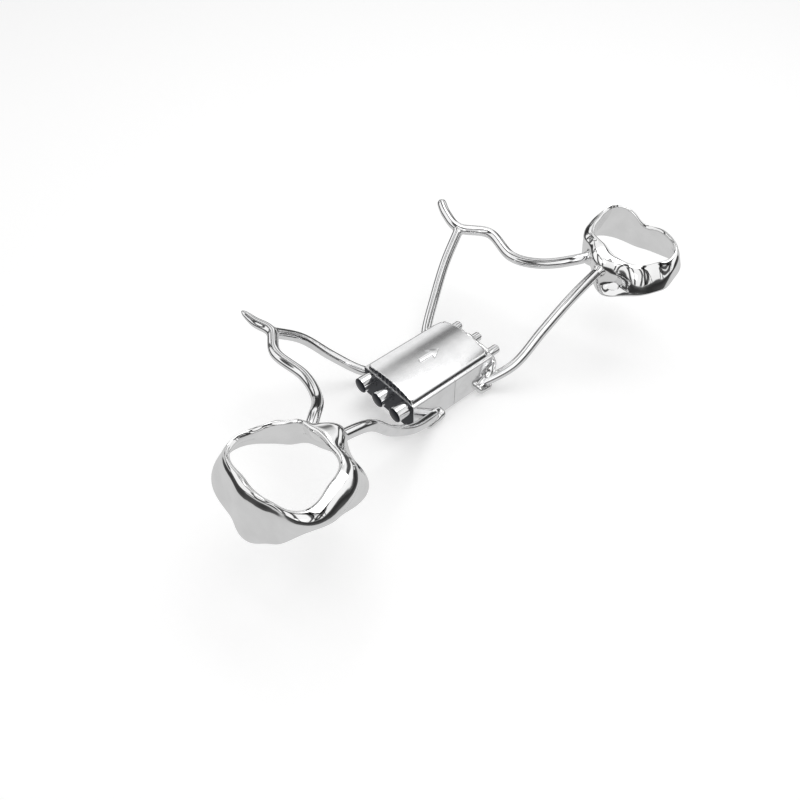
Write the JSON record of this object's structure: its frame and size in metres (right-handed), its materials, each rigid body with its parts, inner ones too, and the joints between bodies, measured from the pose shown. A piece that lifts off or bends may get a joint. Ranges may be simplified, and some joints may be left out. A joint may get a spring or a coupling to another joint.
{
  "type": "palatal expander",
  "caption": "Fixed rapid palatal expander: a jack screw with guide pins on bent wire arms, lingual bars and cast molar bands.",
  "frame": {"origin": "midway between the middles of the two molar bands' openings, level with their rims", "axes": "+X across the palate from the near band to the far band, +Y forward to the front teeth, +Z towards the bite"},
  "size_m": [0.0626, 0.0316, 0.0161],
  "materials": {
    "polished_band_steel": "mirror-polished cast alloy",
    "polished_wire_steel": "mirror-polished drawn wire",
    "machined_screw_steel": "polished machined steel"
  },
  "bodies": {
    "far_side": {"far_half_body": "machined_screw_steel", "cover_plate": "machined_screw_steel", "guide_pin_front": "machined_screw_steel", "guide_pin_rear": "machined_screw_steel", "brake_washer": "machined_screw_steel", "far_molar_band": "polished_band_steel", "far_lingual_bar": "polished_wire_steel", "far_front_arm": "polished_wire_steel", "far_rear_arm": "polished_wire_steel"},
    "near_side": {"near_half_body": "machined_screw_steel", "guide_tube_front": "machined_screw_steel", "guide_tube_rear": "machined_screw_steel", "spindle_nut_tube": "machined_screw_steel", "near_molar_band": "polished_band_steel", "near_lingual_bar": "polished_wire_steel", "near_front_arm": "polished_wire_steel", "near_rear_arm": "polished_wire_steel"},
    "spindle": {"expansion_spindle": "machined_screw_steel", "spindle_collar": "machined_screw_steel"}
  },
  "joints": [
    {"name": "spindle_turn", "type": "hinge", "parent": "far_side", "child": "spindle", "pos_m": [0, 0.0085, -0.0117], "axis": [1, 0, 0], "range_deg": [0, 2700]},
    {"name": "near_half_slide", "type": "slide", "parent": "far_side", "child": "near_side", "axis": [-1, 0, 0], "range_m": [0, 0.006]}
  ],
  "couplings": [
    {"joint": "spindle_turn", "follows": "near_half_slide", "rad_per_m": 7854}
  ]
}
